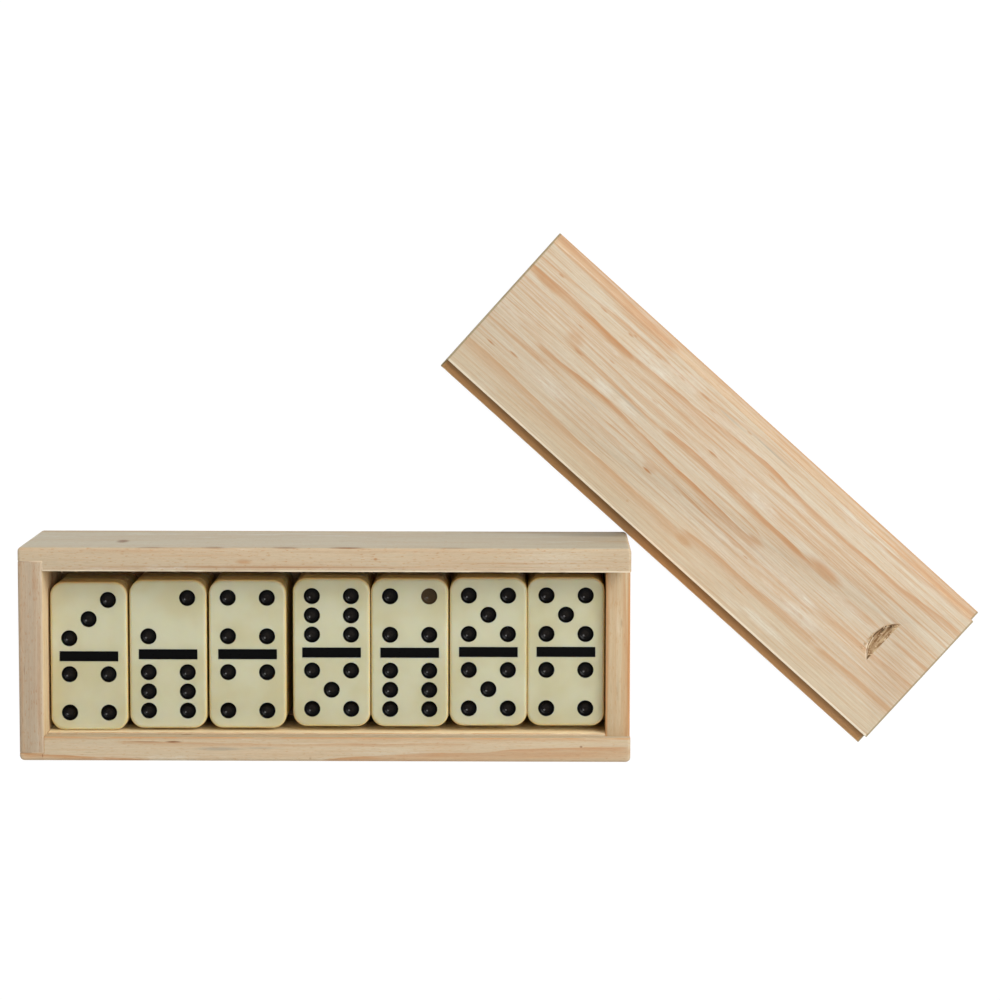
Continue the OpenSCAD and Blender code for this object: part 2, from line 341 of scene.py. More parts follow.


# Each board: its middle in metres, the turn of its grain about Z in degrees, and the height of its top
# over its middle. Then how strong each kind of mark is, how its faces are tinted (the way the inward
# one looks, how far under the top that starts, inward tint, which brightens it as painted light, and
# outward tint) and its inward and outward arrises (colour, rub; partly wear, with pale ones partly
# painted highlight and dark ones partly painted shade). Bands are (points of the upper edge, width,
# strength), rings (where, how dark), drift shifts the rings along the board, and marks are (along,
# across, half length, half width, strength), in millimetres from the middle.
boards = {}
boards["lid"] = {
    "middle": (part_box("lid")[0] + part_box("lid")[1]) / 2, "turn": 42, "top": 4.25,
    "tint": (0.915, 0.905, 0.895), "slant": 0.4, "streaks": 0.16,
    "cloud": 0.25, "specks": 0.15, "veins": 0.5, "lines": 0.4, "ink": "tick",
    "arrises": ((colour(236, 220, 194), 0.9), (colour(188, 146, 106), 0.7)),
    "bands": [
        ([(-95.2, 26.2), (-72.8, 26), (-50.2, 25.2), (-37.8, 25)], 2, 0.6),
        ([(-95.2, 19.6), (-79, 19.9), (-66.5, 21), (-54, 21.4), (-41.5, 21.5), (-31.5, 21.4),
          (-21.5, 21.6), (-10.2, 22.8), (2.2, 23.8), (14.8, 23.9), (28.5, 23.5), (37.2, 23.5),
          (52.2, 24.1), (71, 24.9), (96, 25.9)], 1.5, 0.5),
        ([(21, 23.6), (37.2, 23.5), (52.2, 24.1), (71, 24.9), (96, 25.9)], 1.8, 0.3),
        ([(-95.2, 15.8), (-75.2, 16.1), (-60.2, 15.6), (-45.2, 15.2)], 3.4, 0.85),
        ([(-49, 15.5), (-31.5, 16.2), (-21.5, 16.5), (-10.2, 17.4), (2.2, 18.5), (8.5, 18.8), (21, 18),
          (33.5, 17.6), (52.2, 17.8), (71, 18.5), (83.5, 19.5), (96, 19.9)], 2.8, 0.75),
        ([(-95.2, 11.2), (-72.8, 11.1), (-70.2, 11)], 1, 0.5),
        ([(-95.2, 8.9), (-76.5, 8.9), (-60.2, 8.6), (-41.5, 8), (-26.5, 7.8), (-15.2, 7.5)], 1.1, 0.4),
        ([(-47.8, 11), (-37.8, 11.9), (-26.5, 12.2), (-14, 12.4), (-4, 12.8), (8.5, 13.2), (21, 13.9),
          (33.5, 13.5), (46, 13.4), (64.8, 13.5), (96, 13.9)], 1.1, 0.5),
        ([(-69, 10), (-50.2, 9.8)], 0.9, 0.35),
        ([(-66.5, 5.5), (-61.5, 5.2), (-47.8, 4.9), (-31.5, 4.2), (-24.6, 3.9)], 1.6, 0.55),
        ([(-25.2, 5.1), (-16.5, 5.6), (-4, 6), (8.5, 5.4), (21, 4.8), (33.5, 4.6), (42.2, 4)], 3, 0.85),
        ([(16, 9.4), (33.5, 9.5), (52.2, 9.2), (64.8, 8.9), (96, 8.5)], 1, 0.55),
        ([(74.8, 9.8), (96, 9.2)], 0.6, 0.4),
        ([(54.1, 3.5), (64.8, 3.9), (71, 4)], 2, 0.5),
        ([(75.4, 4), (96, 4.4)], 1.8, 0.5),
        ([(-74, -1.8), (-64, -1.5), (-54, -0.8), (-41.5, -0.5), (-29, -1.2), (-16.5, -1.9), (-4, -2.1),
          (8.5, -2.5), (18.5, -2.8), (24.1, -2.4)], 2.8, 0.8),
        ([(-1.5, 0.5), (8.5, 0.9), (17.2, 0.6), (22.9, -0.2)], 1, 0.5),
        ([(-95.2, -5.8), (-81.5, -5.5), (-66.5, -5.2)], 1.5, 0.5),
        ([(-95.2, 2), (-81.5, 2.4), (-70.2, 2.8)], 0.8, 0.4),
        ([(-95.2, 0.1), (-72.8, 0.2)], 0.8, 0.4),
        ([(-41.5, -5.8), (-31.5, -5.5), (-21.5, -5.8), (-11.5, -6.1), (3.5, -6.5), (18.5, -6.8),
          (33.5, -6.9), (52.2, -6.8)], 0.9, 0.55),
        ([(52.2, -4.9), (58.5, -4.5), (69.8, -4), (74.8, -3.8), (96, -2.9)], 2.5, 0.55),
        ([(-95.2, -15.4), (-75.2, -15.2), (-60.2, -15.8), (-44, -16.4), (-29, -16.4), (-14, -16.2),
          (2.2, -16.4)], 5.2, 0.65),
        ([(1, -15.1), (8.5, -14.2), (17.2, -13.9), (27.2, -14), (39.8, -13.2), (51, -13), (59.1, -13)],
         3.8, 0.6),
        ([(58.5, -14.1), (68.5, -13.6), (81, -13.2), (96, -12.9)], 4.2, 0.65),
        ([(71, -24.8), (81, -24.5), (96, -24)], 1.2, 0.4),
        ([(-4, -24), (16, -24), (33.5, -23.2)], 0.8, 0.3),
        ([(21, -16.8), (28.5, -17.5), (34.8, -18)], 0.6, 0.4),
    ],
    "blotches": [
        (-65.2, 6.8, 4.5, 3.6, 0.4), (4.1, -17.9, 5.2, 1.9, 0.75), (44.8, 5.2, 10, 3, 0.65),
        (31.6, 4, 9, 1.3, 0.6), (-84, 14.2, 9, 1.8, 0.5), (-54, 14.2, 9, 1.6, 0.4),
        (21.6, -2, 4.5, 1, 0.5)],
    "dashes": [(-76.5, -9.9, 2.4, 0.4, 0.8), (-84.6, -12, 2.4, 0.4, 0.8), (-61.5, 4.5, 2.4, 0.4, 0.6),
        (-66.5, 11.1, 1.6, 0.35, 0.5), (-51.5, 9.4, 1.6, 0.35, 0.45), (-82.1, 19, 1.6, 0.4, 0.6),
        (-64.6, 20, 2.2, 0.4, 0.6), (-51.5, 20.6, 1.1, 0.35, 0.5), (-52.8, 19.8, 1.7, 0.4, 0.7),
        (-41.5, 20.6, 2.6, 0.35, 0.5), (-31.5, 20.5, 2.2, 0.35, 0.4), (-21.5, 21.1, 3.5, 0.5, 0.5),
        (-17.1, 19.4, 2.2, 0.35, 0.4), (-7.5, 9.2, 2.8, 0.45, 0.85), (-19.6, -8.9, 2.6, 0.55, 0.9),
        (-19.6, -7.8, 4, 1.6, 0.3), (-7.8, -7.6, 3, 0.35, 0.4), (-3.4, 22.1, 1.6, 0.35, 0.5),
        (22.9, -8.4, 1.7, 0.35, 0.5), (17.2, -8, 3, 0.3, 0.35), (48.5, -8.4, 2.6, 0.35, 0.4),
        (-32.8, 9.2, 2.2, 0.35, 0.4), (28.5, -17.8, 2.6, 0.4, 0.35), (-17.8, -20.4, 0.7, 0.6, 0.6)],
    "greys": [(-10.2, 21.4, 8, 0.4, 0.6), (6, 22.5, 13, 0.4, 0.8), (-39, 3.2, 11, 0.6, 0.45),
        (-47.8, -4.9, 5, 0.5, 0.3), (-21.5, -15.4, 8, 0.35, 0.35), (24.8, -4.5, 6, 0.4, 0.3)],
    "fuzz": [(-41.5, 17.8, 13, 2.8, 0.75), (-54, 12.4, 5, 1.1, 0.6), (-47.8, 1.8, 6, 2.2, 0.6),
        (-37.8, 1.8, 7, 1.8, 0.6), (-60.2, -10.1, 15, 3.4, 0.5), (14.8, 8, 9, 2.8, 0.65),
        (-4, 19.2, 22, 1.6, 0.3), (43.5, -5.4, 11, 1.3, 0.75), (48.5, -10.8, 13, 3.4, 0.55),
        (41, -20.8, 17, 2, 1), (29.1, -22.6, 6, 1.3, 0.6), (38.5, 14.6, 9, 1.1, 0.4)],
}
boards["back_wall"] = {
    "middle": (0, 0.0298, 0.025), "turn": 0, "top": 25,
    "tint": (0.828, 0.800, 0.745), "slant": 0.45, "streaks": 0.22,
    "cloud": 0.2, "specks": 0.6, "veins": 1.1, "lines": 0.05, "ink": "duct",
    "faces": (-1, 4.5, (1.4, 1.35, 1.2), (0.80, 0.90, 1.0)),
    "arrises": ((colour(244, 228, 200), 1.0), (colour(170, 138, 102), 0.6)),
    "rings": evenRings(3, -16, 7, 6) + [(8.3, 0.4), (15.2, 0.3)], "drift": (-60, 40, 0.5, -0.5),
    "blotches": [(-25, -0.6, 3.5, 1.2, 0.6), (16, 0.2, 0.8, 0.6, 0.8), (-20, -2.3, 76, 0.5, 0.5),
                 (60, -1.0, 34, 0.4, 0.35), (-60, 2.4, 30, 0.9, 0.3)],
    "dashes": [
        (-64.5, 3.8, 2.6, 1.0, 0.9, 8), (7, 3.65, 7.5, 0.45, 0.9, 25, 2), (-12, 3.65, 6, 0.4, 0.7, 25, 2),
        (-34, 3.65, 5, 0.4, 0.6, 25, 2), (-54, 3.65, 6, 0.35, 0.5, 25, 2),
        (40, 3.65, 8, 0.3, 0.4, 25, 2), (-20, -2.4, 60, 0.25, 0.35), (60, -2.2, 20, 0.2, 0.3)],
    # the grey mark is painted shade low on the outward face near the lid, and the next marks are the lid's
    # painted shadow there
    "greys": [(60, 3.8, 34, 1.2, 0.1, -14)],
    "lidShadowMarks": [(86, 3.8, 56, 1.4, 0.45, -23), (92, 3.8, 30, 1.4, 0.42, -15)],
    "fuzz": [(70, 0, 20, 4, 0.3)],
}
boards["front_wall"] = {
    "middle": (0, -0.0298, 0.025), "turn": 0, "top": 25,
    "tint": (0.822, 0.790, 0.722), "slant": -0.45, "streaks": 0.22,
    "cloud": 0.2, "specks": 0.4, "veins": 1.0, "lines": 0.1, "ink": "duct",
    "faces": (1, 4.5, (1.62, 1.74, 1.72), (1, 1, 1)),
    "arrises": ((colour(200, 152, 104), 0.9), (colour(186, 144, 100), 0.9)),
    "bands": [
        ([(-66, 2.4), (-49, 2.5), (-30, 1.9), (-11, 1.5), (2, 1.9), (24, 1.9), (46, 2.2)], 1.1, 0.5),
        ([(-96, -1.6), (-83, -1.9), (-70, -2.6), (-55, -3.0)], 2.0, 0.7),
        ([(-2, -3.3), (8, -2.5), (24, -1.6), (34, -1.1), (48, -0.8), (55, 0.0), (65, 0.5), (77, 0.8),
          (96, 1.0)], 5.5, 0.6),
        ([(60, -1.4), (75, -1.1), (96, -0.9)], 2.2, 0.4),
        ([(-90, 3.4), (0, 3.5), (90, 3.3)], 0.7, 0.35),
    ],
    "blotches": [(70, -1.6, 26, 1.4, 0.3)],
    "dashes": [(-47.3, 2.3, 3.4, 0.4, 1.0), (-56, 2.3, 7, 0.25, 0.5), (-88.2, 2.6, 0.35, 0.9, 0.9),
               (-88.2, 0.2, 0.35, 1.2, 1.0), (-88.2, -2.2, 0.3, 0.8, 0.8), (80, 1.1, 0.6, 0.5, 0.8),
               (-93, -1.5, 3.2, 0.3, 0.5), (-4.5, -2.8, 0.5, 0.5, 0.4)],
    "greys": [(-33, 0.1, 10, 0.8, 0.9), (-20, 0.4, 8, 0.5, 0.6)],
    "fuzz": [(20, -1, 18, 2, 0.3)],
}
boards["closed_end_wall"] = {
    "middle": (-0.0916, 0, 0.025), "turn": 90, "top": 25,
    "tint": (0.692, 0.650, 0.612), "slant": 0.3, "streaks": 0.25,
    "cloud": 0.1, "specks": 0.6, "veins": 1.1, "lines": 0.1, "ink": "duct",
    "faces": (1, 0.1, (1.54, 1.58, 1.46), (1, 1, 1)),
    "arrises": ((colour(208, 187, 158), 0.8), (colour(176, 150, 120), 0.5)),
    "bands": [
        ([(-40, -2.2), (0, -2.5), (40, -2.3)], 1.4, 0.3),
        ([(-40, 1.4), (-10, 1.7), (20, 1.2)], 1.2, 0.22),
        ([(-10, 3.2), (15, 2.9), (40, 3.1)], 1.0, 0.2),
    ],
    "blotches": [(-22, 1.5, 5, 1.2, 0.3)], "dashes": [(5, -2.0, 2, 0.3, 0.4)],
    "greys": [(0, 0, 60, 3.0, 0.3)], "fuzz": [(28, 2, 8, 1.5, 0.2)],
}
boards["open_end_wall"] = {
    "middle": (0.0916, 0, 0.0206), "turn": 90, "top": 20.6,
    "tint": (0.869, 0.821, 0.707), "slant": 0.4, "streaks": 0.25,
    "cloud": 0.35, "specks": 0.35, "veins": 0.6, "lines": 0.08, "ink": "duct",
    "faces": (-1, 0.1, (1.4, 1.35, 1.2), (1, 1, 1)), "arrises": ((colour(206, 150, 98), 0.85),) * 2,
    "rings": evenRings(21, -13, 13, 8), "drift": (-30, 30, 0.5, -0.5),
    "blotches": [(0, 3.4, 40, 0.7, 0.9), (0, -3.4, 40, 0.7, 0.6)], "dashes": [(-9, 1.0, 2, 0.3, 0.4)],
    "greys": [(12, 0, 6, 0.6, 0.3)], "fuzz": [(-8, 0, 9, 1.5, 0.3)],
}
boards["bottom_panel"] = {
    "middle": (0, 0, 0.003), "turn": 0, "top": 3,
    "tint": (0.95, 0.93, 0.90), "slant": 0.5, "streaks": 0.5,
    "cloud": 0.5, "specks": 0.2, "veins": 1.0, "lines": 0.2, "ink": "duct",
    "arrises": ((colour(200, 160, 116), 0.6),) * 2,
    "rings": evenRings(30, -30, 30, 14), "drift": (-60, 20, 1.5, -1.5),
    "blotches": [(30, 8, 14, 3, 0.6)], "dashes": [(-40, -12, 4, 0.4, 0.8), (15, 3, 3, 0.4, 0.6)],
    "greys": [(-10, -6, 16, 0.8, 0.4)], "fuzz": [(-50, 10, 18, 8, 0.6)],
}
# the lid's tongues are browner than its top, the lower one partly as painted shade and darker still at its
# root as painted shade: each zone is (from, to, strengths) across the lid
lidWearAndLight = {
    "cream": (-9.0, -23.0, 0.0, 0.34),  # paler towards one long edge
    "rubAndHighlight": (-24.6, -24.95), "rubAndHighlightTop": (4.0, 4.15), "rubbedAndSheen": 0.9,  # and a pale line along it, partly rubbed wood and partly painted highlight
    "side": (-25.4, -25.9, 0.0, 0.85), "sideTone": (-25.6, -28.2),
    "farSide": [(25.4, 26.0, 0.0, 0.22), (28.1, 28.4, 0.0, 0.5)],
    # the end edges darkened as painted shade
    "ends": (90.75, 91.1, 0.0, 0.75),
}
notch = {  # the thumb notch, cut down to torn wood
    "along": (70.0, 75.0), "across": (-7.9, 9.9), "fade": 0.3, "below": (4.12, 4.0), "relief": 4.0,
    # the dark spots are painted shade in the notch along its curved wall
    "dark": [(72.7, 7.4, 1.3, 2.6, 1.0, 3.6), (71.6, 4.4, 0.9, 2.6, 1.0, 3.4),
             (71.0, 1.2, 0.6, 2.8, 0.6, 3.4), (74.2, -5.8, 1.0, 1.4, 0.5, 3.6)],
}
wear = {
    "face": (3.4, 3.7), "lip": 0.1, "fade": 0.4,  # where a wall's face tints begin, off its middle and top; the inward tint is painted light
    "rim": (3.2, 3.5, 0.0, 0.8), "rimTop": (0.4, 0.2),  # the rim's edge lines, partly rubbed and partly painted highlight and shade, the same way
    "fibre": (0.13, 0.12), "thread": (0.14, 0.14),  # how they show in the colour, least and for each vein
    "endGrain": (0.6, 0.9), "endDark": 0.14,
    "fuzz": 0.7, "duct": 0.6,  # how strong the veins' fuzz and ducts are
    "fuzzOnLate": 0.6, "paleLines": 1.1, "smoothLate": 0.3,
    "lateHeight": 0.5, "threadHeight": 0.6,
}
# sharp edges are eased: widths in millimetres, angles in degrees, and the largest area in square
# millimetres that is shaded smooth
easing = {"width": 0.22, "weld": 0.002, "flat": 0.5, "sharp": 35, "narrow": 40}
sharpAngle = 30  # degrees between faces that are shaded apart


def boardPlace(tree, look):
    # object coordinates turned so that X runs along the grain, in millimetres from the board's middle
    angle = math.radians(look["turn"])
    back = -(Matrix.Rotation(angle, 3, "Z") @ Vector(look["middle"])) / mm
    turned = {"Vector": addNode(tree, "ShaderNodeTexCoord").outputs["Normal"], "Rotation": (0, 0, angle)}
    face = addNode(tree, "ShaderNodeMapping", turned, vector_type="NORMAL").outputs[0]
    return inMillimetres(tree, back, angle), face


def grainNoise(spot, kind):
    return noise(spot, *grain[kind])


def stepped(value, kind, *to):
    return between(value, *steps[kind], *to)


def grainStep(spot, kind, *to):
    return stepped(grainNoise(spot, kind), kind, *to)


def swing(value, size):
    # a noise made to swing round nothing
    return product(minus(value, 0.5), size)


def lateWood(tree, spot, look):
    # late wood of each year ring: it fades in and ends sharply
    split = parts(spot)
    wave = swing(grainNoise(spot, "ringWave"), rings["wave"])
    ripple = swing(grainNoise(spot, "ringRipple"), rings["ripple"])
    drift = between(split[0], *look["drift"])
    across = total(split[1], product(split[2], look["slant"]), wave, ripple, drift)
    drawn = sorted(look["rings"])
    first, span = drawn[0][0] - rings["margin"], drawn[-1][0] - drawn[0][0] + 2 * rings["margin"]
    where = calc("DIVIDE", minus(across, first), span, clamp=True)
    ramp = addNode(tree, "ShaderNodeValToRGB", {0: where})
    stops = ramp.color_ramp.elements
    points = []
    for at, dark in drawn:
        points += [((at - first) / span, dark), ((at + rings["end"] - first) / span, 0.0)]
    while len(stops) < len(points):
        stops.new(0.5)
    for stop, (position, dark) in zip(stops, points):
        stop.position = position
        stop.color = (dark, dark, dark, 1)
    return product(calc("POWER", ramp.outputs[0], rings["power"]), grainStep(spot, "ringFade"))


def grainBands(tree, spot, look):
    # late wood along drawn lines, sharp on its upper edge and fading below it
    split = parts(spot)
    ripple = swing(grainNoise(spot, "bandRipple"), band["ripple"])
    across = total(split[1], product(minus(split[2], look["top"]), look["slant"]), ripple)
    reach, sharp, (outside, inside) = band["reach"], band["edge"], band["ends"]
    where = calc("DIVIDE", total(split[0], reach), 2 * reach)
    marks = []
    for points, width, strength in look["bands"]:
        curve = addNode(tree, "ShaderNodeFloatCurve", {"Value": where})
        line = curve.mapping.curves[0].points
        while len(line) < len(points):
            line.new(0.5, 0.5)
        for dot, (along, edge) in zip(line, points):
            dot.location = ((along + reach) / 2 / reach, (edge + reach) / 2 / reach)
        curve.mapping.update()
        edge = minus(product(curve.outputs[0], 2 * reach), reach)
        below = minus(edge, across)
        fade = between(below, band["full"], width, strength, 0.0, "LINEAR")
        start, end = points[0][0], points[-1][0]
        marks.append(product(between(below, -sharp, sharp), fade,
                             between(split[0], start - outside, start + inside),
                             between(split[0], end + outside, end - inside)))
    found = largest(*marks)
    return calc("MULTIPLY", found, grainStep(spot, "bandFade"), clamp=True)


def woodCoats(spot, look, late, fibre, thread):
    # the colours that lie on the pale wood, each over the ones before it
    streak, lines = grainNoise(spot, "streak"), grainNoise(spot, "lines")

    def marks(kind, *deep):
        return spots(spot, look[kind], look["top"], *deep)

    fuzz = largest(marks("fuzz"), grainStep(spot, "fuzz", 0.0, wear["fuzz"] * look["veins"]))
    fuzz = product(fuzz, grainStep(spot, "broken"), stepped(fibre, "fuzzFibre"),
                   minus(1.0, product(late, wear["fuzzOnLate"])))
    duct = largest(grainStep(spot, "duct", 0.0, wear["duct"] * look["veins"]),
                   product(marks("dashes"), stepped(thread, "dash")))
    coats = [
        (grainStep(spot, "cloud", 0.0, look["cloud"]), "blotch"),
        (stepped(streak, "streak", 0.0, look["streaks"]), "late"),
        (stepped(lines, "darkLine", 0.0, look["lines"]), "late"),
        (stepped(lines, "paleLine", 0.0, look["lines"] * wear["paleLines"]), "fuzz"),
        (product(marks("blotches"), stepped(streak, "blotch")), "late"),
        (product(late, stepped(fibre, "late")), "late"),
        (fuzz, "fuzz"),
        (marks("greys"), "grey"),
        (duct, look["ink"]),
        (grainStep(spot, "speck", 0.0, look["specks"]), "late"),
    ]
    # a painted shadow that another piece casts on the board, where it has one
    if "lidShadowMarks" in look:
        coats.insert(-2, (marks("lidShadowMarks", pine["lidShadowDepth"]), "lidShadowTone"))
    shade = pine["pale"]
    for amount, tint in coats:
        shade = blendColours(amount, shade, pine[tint])
    return shade


def lidCoats(spot, split, shade, top):
    # the lid's own colours, partly painted light (a highlight along one top edge, shade on the lower tongue
    # and in the notch), and what the torn notch adds to its relief
    shade = blendColours(between(split[1], *lidWearAndLight["cream"]), shade, pine["cream"])
    # a pale line along one top edge: partly rubbed wood, partly painted highlight
    rubAndHighlight = product(between(split[1], *lidWearAndLight["rubAndHighlight"]), between(split[2], *lidWearAndLight["rubAndHighlightTop"]),
                  lidWearAndLight["rubbedAndSheen"])
    shade = blendColours(rubAndHighlight, shade, pine["rubAndHighlight"])
    # the lower tongue browner, darkest at its root: partly its wood, partly painted shade
    tone = blendColours(between(split[1], *lidWearAndLight["sideTone"]), pine["tongueRoot"], pine["tongue"])
    shade = blendColours(between(split[1], *lidWearAndLight["side"]), shade, tone)
    for zone in lidWearAndLight["farSide"]:
        shade = blendColours(between(split[1], *zone), shade, pine["late"])
    (left, right), (low, high), fade = notch["along"], notch["across"], notch["fade"]
    cut = product(between(split[2], *notch["below"]), between(split[0], left, left + fade),
                  between(split[0], right + fade, right), between(split[1], low, low + fade),
                  between(split[1], high, high - fade))
    ridge = grainNoise(spot, "ridge")
    torn = blendColours(stepped(ridge, "ridge"), pine["torn"], pine["tornPale"])
    # painted shade in the notch, darkest along its curved wall
    torn = blendColours(spots(spot, notch["dark"], top), torn, pine["notchShade"])
    return blendColours(cut, shade, torn), product(cut, ridge, notch["relief"])


def pineMaterial(node, look):
    material, tree, shader = newMaterial("pine " + node.replace("_", " "))
    spot, face = boardPlace(tree, look)
    split, top, isLid = parts(spot), look["top"], node == "lid"
    late = grainBands(tree, spot, look) if "bands" in look else lateWood(tree, spot, look)
    fibre, thread = grainNoise(spot, "fibre"), grainNoise(spot, "thread")
    shade = woodCoats(spot, look, late, fibre, thread)
    height = total(product(late, wear["lateHeight"]), fibre, product(thread, wear["threadHeight"]))

    way, lip, *tints = look.get("faces", (0, 0))
    inside = product(split[1], float(way or -1))
    for turned, tint, start in zip((1.0, -1.0), tints, (lip, wear["lip"])):
        # the inward face is brightened as painted light against the shade inside the box, and the outward one
        # is tinted greyer
        on = product(between(product(inside, turned), *wear["face"]),
                     between(split[2], top - start, top - start - wear["fade"]))
        shade = blendColours(on, shade, blendColours(1.0, shade, (*tint, 1), "MULTIPLY"))
    if isLid:
        shade, tornHeight = lidCoats(spot, split, shade, top)
        height = total(height, tornHeight)

    speckle = total(*(swing(value, least + more * look["veins"])
                      for value, (least, more) in ((fibre, wear["fibre"]), (thread, wear["thread"]))))
    endGrain = between(calc("ABSOLUTE", parts(face)[0]), *wear["endGrain"])
    level = minus(total(speckle, 1.0), product(endGrain, wear["endDark"]))
    shade = blendColours(1.0, shade, vectorCalc("MULTIPLY", look["tint"], level)[0], "MULTIPLY")

    # edges and rim lines take their own colours: partly wear, with painted highlight where pale and painted
    # shade where dark
    (innerArris, innerEdgeStrength), (outerArris, outerEdgeStrength) = look["arrises"]
    inward = calc("GREATER_THAN", inside, 0.0)
    wearAndPaintedLight = grainStep(spot, "wearAndPaintedLight")
    strength = between(inward, 0.0, 1.0, outerEdgeStrength, innerEdgeStrength, "LINEAR")
    edge = attribute(tree, "eased")
    if way:
        rim = product(between(calc("ABSOLUTE", split[1]), *wear["rim"]),
                      between(split[2], *(top - below for below in wear["rimTop"])))
        edge = largest(edge, rim)
    shade = blendColours(product(edge, wearAndPaintedLight, strength), shade,
                         blendColours(inward, outerArris, innerArris))
    # the lid's end edges darkened as painted shade
    if isLid:
        ends = between(calc("ABSOLUTE", split[0]), *lidWearAndLight["ends"])
        shade = blendColours(ends, shade, pine["ends"])
    rough = stepped(minus(fibre, product(late, wear["smoothLate"])), "rough", *pine["roughness"])
    finishShader(tree, shader, shade, rough, height, pine["relief"])
    return material


def sandedBoard(node):
    # the imported board with every sharp edge eased, its new narrow faces marked for the wear and painted
    # light along them
    mesh = bmesh.new()
    mesh.from_mesh(nodes[node].data)
    flat, least = math.radians(easing["flat"]), math.radians(easing["sharp"])
    bmesh.ops.remove_doubles(mesh, verts=mesh.verts, dist=easing["weld"] * mm)
    bmesh.ops.dissolve_limit(mesh, angle_limit=flat, verts=mesh.verts, edges=mesh.edges)
    mark = mesh.faces.layers.float.new("eased")
    sharp = [e for e in mesh.edges if e.is_manifold and e.calc_face_angle(0) > least]
    made = bmesh.ops.bevel(mesh, geom=sharp, offset=easing["width"] * mm, segments=2, profile=0.5,
                           affect="EDGES", clamp_overlap=True, offset_type="OFFSET")
    for face in made["faces"]:
        face[mark] = 1.0
    bmesh.ops.recalc_face_normals(mesh, faces=mesh.faces)
    for face in mesh.faces:
        face.smooth = face.calc_area() < easing["narrow"] * mm * mm
    data = bpy.data.meshes.new(node + "_board")
    mesh.to_mesh(data)
    mesh.free()
    data.set_sharp_from_angle(angle=math.radians(sharpAngle))
    return data


for node, look in boards.items():
    data = sandedBoard(node)
    data.materials.append(pineMaterial(node, look))
    body, slot = ("lid", "pine_lid") if node == "lid" else ("box", "pine")
    place(node + "_board", data, body, slot, [node])
print("pine boards made:", len(boards))

# torn fibres grow on patches with these corners, in millimetres in the board's own directions from its
# middle, density of them on a square millimetre, along the aim
fibres = {
    "lid_notch_fibres": {
        "board": "lid", "body": "lid", "slot": "pine_lid", "seed": 4,
        "patches": [((71.7, -4.2, 2.62), (74.2, -6.2, 3.90), (74.2, 8.2, 3.90), (71.7, 6.2, 2.62))],
        "density": 0.8, "aim": (0.9, 0.25, 0.12), "spread": 0.35, "length": 1.9, "thickness": 0.5,
    },
    "lid_burr_fibres": {
        "board": "lid", "body": "lid", "slot": "pine_lid", "seed": 9,
        "patches": [((70.4, -5.2, 4.22), (71.2, -5.0, 4.22), (70.9, 0.6, 4.22), (70.2, 0.4, 4.22)),
                    ((71.0, 3.6, 4.22), (71.8, 3.9, 4.22), (72.8, 7.0, 4.22), (72.4, 7.2, 4.22))],
        "density": 5.0, "aim": (-0.7, 0.6, 0.30), "spread": 0.6, "length": 1.0, "thickness": 0.34,
    },
    "box_rim_fibres": {
        "board": "back_wall", "body": "box", "slot": "pine", "seed": 15,
        "patches": [((-86, -3.78, 24.55), (86, -3.78, 24.55), (86, -3.78, 24.8), (-86, -3.78, 24.8))],
        "density": 1.6, "aim": (0.5, -1.0, -0.25), "spread": 0.5, "length": 0.5, "thickness": 0.16,
    },
}
sliver = {
    "sides": 5, "tip": 0.08, "root": 0.5, "flat": 0.6,  # shape, in parts of its thickness
    "long": (0.55, 1.35), "thick": (0.6, 1.3), "jitter": (1.0, 1.0, 0.6),  # how much they differ
    "dark": colour(190, 152, 108), "pale": colour(226, 206, 172), "step": (0.35, 0.65),
    "tone": ((1.1, 1.1, 1.1), 3.0, 0.6), "relief": (0.3, 0.05, 0.25), "roughness": (0.3, 0.7, 0.6, 0.8),
    "grit": (4, 4, 4),
}


def newSockets(tree, kinds, way):
    for name, kind in kinds.items():
        tree.interface.new_socket(name, in_out=way, socket_type="NodeSocket" + kind)


def outputMesh(tree, grown, material, name):
    real = addNode(tree, "GeometryNodeRealizeInstances", {"Geometry": grown}).outputs[0]
    done = addNode(tree, "GeometryNodeSetMaterial", {"Geometry": real, "Material": material}).outputs[0]
    addNode(tree, "NodeGroupOutput", {name: done})


